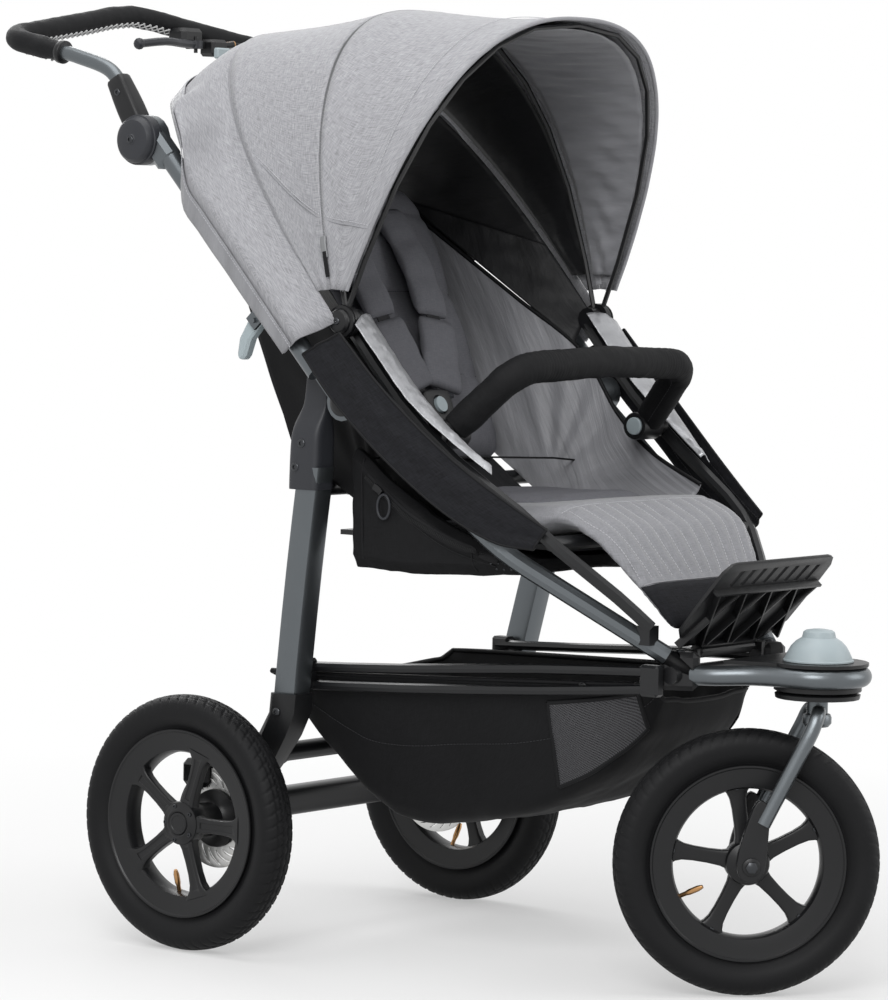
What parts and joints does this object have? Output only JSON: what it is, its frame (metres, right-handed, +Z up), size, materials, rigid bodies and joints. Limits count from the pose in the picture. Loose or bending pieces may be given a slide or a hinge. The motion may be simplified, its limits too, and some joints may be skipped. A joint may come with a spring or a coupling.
{
  "type": "sport stroller",
  "caption": "Three-wheeled sport stroller with swivelling front wheel, padded seat and bumper bar, folding canopy, arched handle with hand brake, footrest and basket.",
  "frame": {"origin": "middle of the bounding box at ground height", "axes": "+Z up, -Y the way the child faces, +X the child's left"},
  "size_m": [0.5884, 1.1396, 1.1398],
  "materials": {
    "tyre": "matte tread rubber",
    "black_plastic": "satin black moulding",
    "dark_plastic": "matte dark grey moulding",
    "light_plastic": "satin light blue-grey moulding",
    "black_metal": "satin black powder coat",
    "grey_metal": "dark grey anodised aluminium",
    "steel": "ground steel",
    "foam": "black foam with laced cover",
    "cable": "black cable housing",
    "light_cloth": "light grey melange cloth",
    "satin_cloth": "light grey satin cloth",
    "mid_cloth": "mid grey cloth",
    "charcoal_cloth": "charcoal melange cloth",
    "black_cloth": "black cloth"
  },
  "bodies": {
    "chassis": {"front_tube_left": "grey_metal", "front_tube_right": "grey_metal", "seat_frame": "black_metal", "front_bracket": "black_metal", "front_hoop": "grey_metal", "swivel_housing": "black_plastic", "leg_bracket_left": "dark_plastic", "leg_bracket_right": "dark_plastic", "rear_leg_left": "grey_metal", "rear_leg_right": "grey_metal", "axle_bracket_left": "black_metal", "axle_bracket_right": "black_metal", "axle_beam": "black_metal", "axle_crossbar": "black_metal", "basket_rail_left": "black_metal", "basket_rail_right": "black_metal", "basket": "black_cloth", "seat_cushion": "light_cloth", "side_wall_left": "satin_cloth", "side_wall_right": "satin_cloth", "rail_cover_left": "charcoal_cloth", "rail_cover_right": "charcoal_cloth", "under_seat_pocket": "black_cloth", "canopy_rear": "light_cloth"},
    "swivel_knob": {"swivel_knob": "light_plastic"},
    "fork": {"fork": "grey_metal"},
    "front_wheel": {"front_tyre": "tyre", "front_rim": "black_plastic"},
    "footrest": {"footrest": "black_plastic"},
    "pusher": {"pusher_tube_left": "grey_metal", "pusher_tube_right": "grey_metal"},
    "handle": {"handle_bar": "grey_metal", "handle_grip": "foam", "brake_mount": "black_plastic", "brake_cable": "cable"},
    "brake_lever": {"brake_lever": "dark_plastic"},
    "parking_latch": {"parking_latch": "light_plastic"},
    "canopy_mid": {"canopy_mid_bow": "black_plastic", "canopy_panel": "light_cloth"},
    "canopy_front": {"canopy_front_bow": "black_plastic", "canopy_visor": "light_cloth"},
    "backrest": {"backrest_shell": "black_cloth", "backrest_pad": "mid_cloth", "harness": "mid_cloth"},
    "buckle_button": {"buckle_button": "light_plastic"},
    "bumper_bar": {"bumper_bar": "black_cloth"},
    "rear_wheel_left": {"rear_tyre_left": "tyre", "rear_rim_left": "black_plastic", "brake_disc_left": "steel"},
    "hub_button_left": {"hub_button_left": "black_plastic"},
    "fold_lever_left": {"fold_lever_left": "light_plastic"},
    "hinge_button_left": {"hinge_button_left": "light_plastic"},
    "bumper_button_left": {"bumper_button_left": "light_plastic"},
    "rear_wheel_right": {"rear_tyre_right": "tyre", "rear_rim_right": "black_plastic", "brake_disc_right": "steel"},
    "hub_button_right": {"hub_button_right": "black_plastic"},
    "fold_lever_right": {"fold_lever_right": "light_plastic"},
    "hinge_button_right": {"hinge_button_right": "light_plastic"},
    "bumper_button_right": {"bumper_button_right": "light_plastic"}
  },
  "joints": [
    {"name": "pusher_fold", "type": "hinge", "parent": "chassis", "child": "pusher", "pos_m": [0, -0.0144, 0.662], "axis": [1, 0, 0], "range_deg": [0, 140], "deforming": ["canopy_rear", "rail_cover_left", "rail_cover_right"]},
    {"name": "handle_tilt", "type": "hinge", "parent": "pusher", "child": "handle", "pos_m": [0, 0.2896, 0.962], "axis": [1, 0, 0], "range_deg": [-45, 35]},
    {"name": "brake_squeeze", "type": "hinge", "parent": "handle", "child": "brake_lever", "pos_m": [0.078, 0.5146, 1.093], "axis": [0, 0, 1], "range_deg": [-18, 0], "stiffness_Nm_per_rad": 0.5},
    {"name": "parking_latch_turn", "type": "hinge", "parent": "handle", "child": "parking_latch", "pos_m": [0.113, 0.5011, 1.086], "axis": [0, 1, 0], "range_deg": [0, 25]},
    {"name": "canopy_mid_fold", "type": "hinge", "parent": "chassis", "child": "canopy_mid", "pos_m": [0, -0.0074, 0.755], "axis": [1, 0, 0], "range_deg": [-24, 0], "deforming": ["canopy_panel"]},
    {"name": "canopy_front_fold", "type": "hinge", "parent": "canopy_mid", "child": "canopy_front", "pos_m": [0, -0.0074, 0.755], "axis": [1, 0, 0], "range_deg": [-33, 0], "deforming": ["canopy_visor"]},
    {"name": "backrest_recline", "type": "hinge", "parent": "chassis", "child": "backrest", "pos_m": [0, 0.0666, 0.556], "axis": [1, 0, 0], "range_deg": [-38, 40]},
    {"name": "buckle_release", "type": "slide", "parent": "backrest", "child": "buckle_button", "axis": [0, 0.9135, -0.4067], "range_m": [0, 0.003], "stiffness_N_per_m": 150},
    {"name": "bumper_tilt", "type": "hinge", "parent": "chassis", "child": "bumper_bar", "pos_m": [0, -0.1204, 0.628], "axis": [1, 0, 0], "range_deg": [-30, 40]},
    {"name": "footrest_tilt", "type": "hinge", "parent": "chassis", "child": "footrest", "pos_m": [0, -0.3774, 0.386], "axis": [1, 0, 0], "range_deg": [-10, 18]},
    {"name": "swivel_lock_lift", "type": "slide", "parent": "chassis", "child": "swivel_knob", "axis": [0, 0, 1], "range_m": [0, 0.008]},
    {"name": "fork_swivel", "type": "hinge", "parent": "chassis", "child": "fork", "pos_m": [0, -0.5054, 0.3665], "axis": [0, 0, 1], "continuous": true},
    {"name": "front_wheel_spin", "type": "hinge", "parent": "fork", "child": "front_wheel", "pos_m": [-0.05102, -0.44773, 0.1525], "axis": [0.749, 0.6626, 0], "continuous": true},
    {"name": "rear_wheel_spin_left", "type": "hinge", "parent": "chassis", "child": "rear_wheel_left", "pos_m": [0.266, 0.2066, 0.1525], "axis": [1, 0, 0], "continuous": true},
    {"name": "hub_release_left", "type": "slide", "parent": "rear_wheel_left", "child": "hub_button_left", "axis": [-1, 0, 0], "range_m": [0, 0.003], "stiffness_N_per_m": 150},
    {"name": "fold_lever_pull_left", "type": "hinge", "parent": "pusher", "child": "fold_lever_left", "pos_m": [0.268, 0.1036, 0.753], "axis": [1, 0, 0], "range_deg": [0, 25], "stiffness_Nm_per_rad": 0.6},
    {"name": "hinge_button_press_left", "type": "slide", "parent": "pusher", "child": "hinge_button_left", "axis": [1, 0, 0], "range_m": [0, 0.004], "stiffness_N_per_m": 150},
    {"name": "bumper_button_press_left", "type": "slide", "parent": "bumper_bar", "child": "bumper_button_left", "axis": [1, 0, 0], "range_m": [0, 0.003], "stiffness_N_per_m": 150},
    {"name": "rear_wheel_spin_right", "type": "hinge", "parent": "chassis", "child": "rear_wheel_right", "pos_m": [-0.266, 0.2066, 0.1525], "axis": [1, 0, 0], "continuous": true},
    {"name": "hub_release_right", "type": "slide", "parent": "rear_wheel_right", "child": "hub_button_right", "axis": [1, 0, 0], "range_m": [0, 0.003], "stiffness_N_per_m": 150},
    {"name": "fold_lever_pull_right", "type": "hinge", "parent": "pusher", "child": "fold_lever_right", "pos_m": [-0.268, 0.1036, 0.753], "axis": [1, 0, 0], "range_deg": [0, 25], "stiffness_Nm_per_rad": 0.6},
    {"name": "hinge_button_press_right", "type": "slide", "parent": "pusher", "child": "hinge_button_right", "axis": [-1, 0, 0], "range_m": [0, 0.004], "stiffness_N_per_m": 150},
    {"name": "bumper_button_press_right", "type": "slide", "parent": "bumper_bar", "child": "bumper_button_right", "axis": [-1, 0, 0], "range_m": [0, 0.003], "stiffness_N_per_m": 150}
  ],
  "couplings": [
    {"joint": "canopy_front_fold", "follows": "canopy_mid_fold", "ratio": 1.35}
  ]
}
